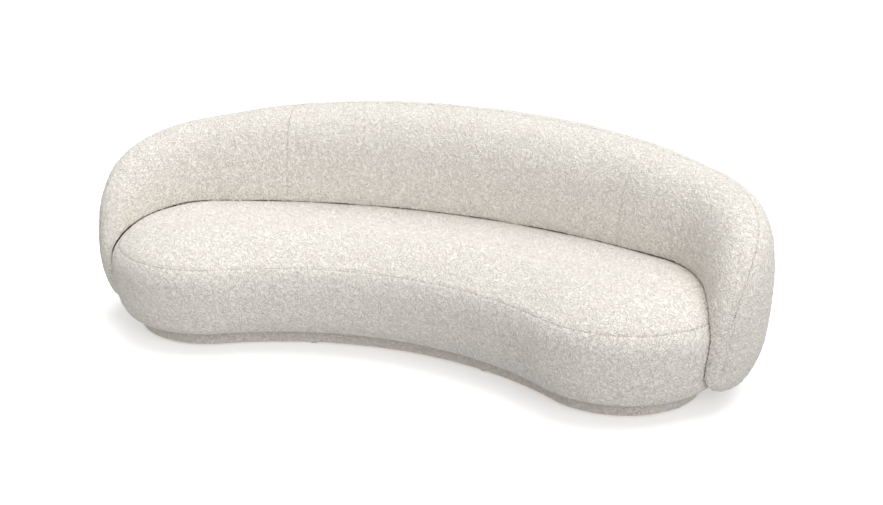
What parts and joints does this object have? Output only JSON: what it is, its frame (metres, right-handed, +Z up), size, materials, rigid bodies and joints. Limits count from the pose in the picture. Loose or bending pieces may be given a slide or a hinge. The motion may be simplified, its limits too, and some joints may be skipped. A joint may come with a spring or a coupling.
{
  "type": "crescent sofa",
  "caption": "Low curved sofa with a rounded bean-shaped seat, a thick back wrapping round behind it, looped boucle covers and a recessed upholstered plinth.",
  "frame": {"origin": "on the floor, under the middle of the sofa's bounding box", "axes": "+X along the sofa's length, to the right of someone looking at its front; -Y towards the front, where the sitter's legs are; +Z up"},
  "size_m": [2.4528, 1.1552, 0.735],
  "materials": {
    "boucle": "matte",
    "plinth_boucle": "matte",
    "foam": "matte",
    "plywood": "matte",
    "solid_wood": "matte",
    "webbing": "matte",
    "lining": "matte",
    "steel": "satin",
    "glide": "matte"
  },
  "bodies": {
    "root": {"back_base_board": "plywood", "back_foam": "foam", "back_former_1": "plywood", "back_former_2": "plywood", "back_former_3": "plywood", "back_former_4": "plywood", "back_former_5": "plywood", "back_front_centre": "boucle", "back_front_left": "boucle", "back_front_right": "boucle", "back_inner_skin": "plywood", "back_lining": "lining", "back_outer_skin": "plywood", "back_rear_centre": "boucle", "back_rear_left": "boucle", "back_rear_right": "boucle", "back_top_rail": "solid_wood", "glide_1": "glide", "glide_2": "glide", "glide_3": "glide", "glide_4": "glide", "glide_5": "glide", "glide_6": "glide", "plinth_cover": "plinth_boucle", "plinth_crossbar_1": "solid_wood", "plinth_crossbar_2": "solid_wood", "plinth_end_left": "solid_wood", "plinth_end_right": "solid_wood", "plinth_front_rail": "solid_wood", "plinth_rear_rail": "solid_wood", "seat_band_front": "boucle", "seat_band_rear": "boucle", "seat_base_board": "plywood", "seat_cross_rail_1": "solid_wood", "seat_cross_rail_2": "solid_wood", "seat_cross_rail_3": "solid_wood", "seat_end_rail_left": "plywood", "seat_end_rail_right": "plywood", "seat_foam": "foam", "seat_front_rail": "solid_wood", "seat_lining": "lining", "seat_rear_rail": "solid_wood", "seat_strap_1": "webbing", "seat_strap_2": "webbing", "seat_strap_3": "webbing", "seat_strap_4": "webbing", "seat_strap_5": "webbing", "seat_strap_6": "webbing", "seat_top_cover": "boucle", "tie_bolt_back_1": "steel", "tie_bolt_back_2": "steel", "tie_bolt_back_3": "steel", "tie_bolt_seat_1": "steel", "tie_bolt_seat_2": "steel", "tie_bolt_seat_3": "steel", "tie_plate_1": "steel", "tie_plate_2": "steel", "tie_plate_3": "steel"}
  },
  "joints": []
}
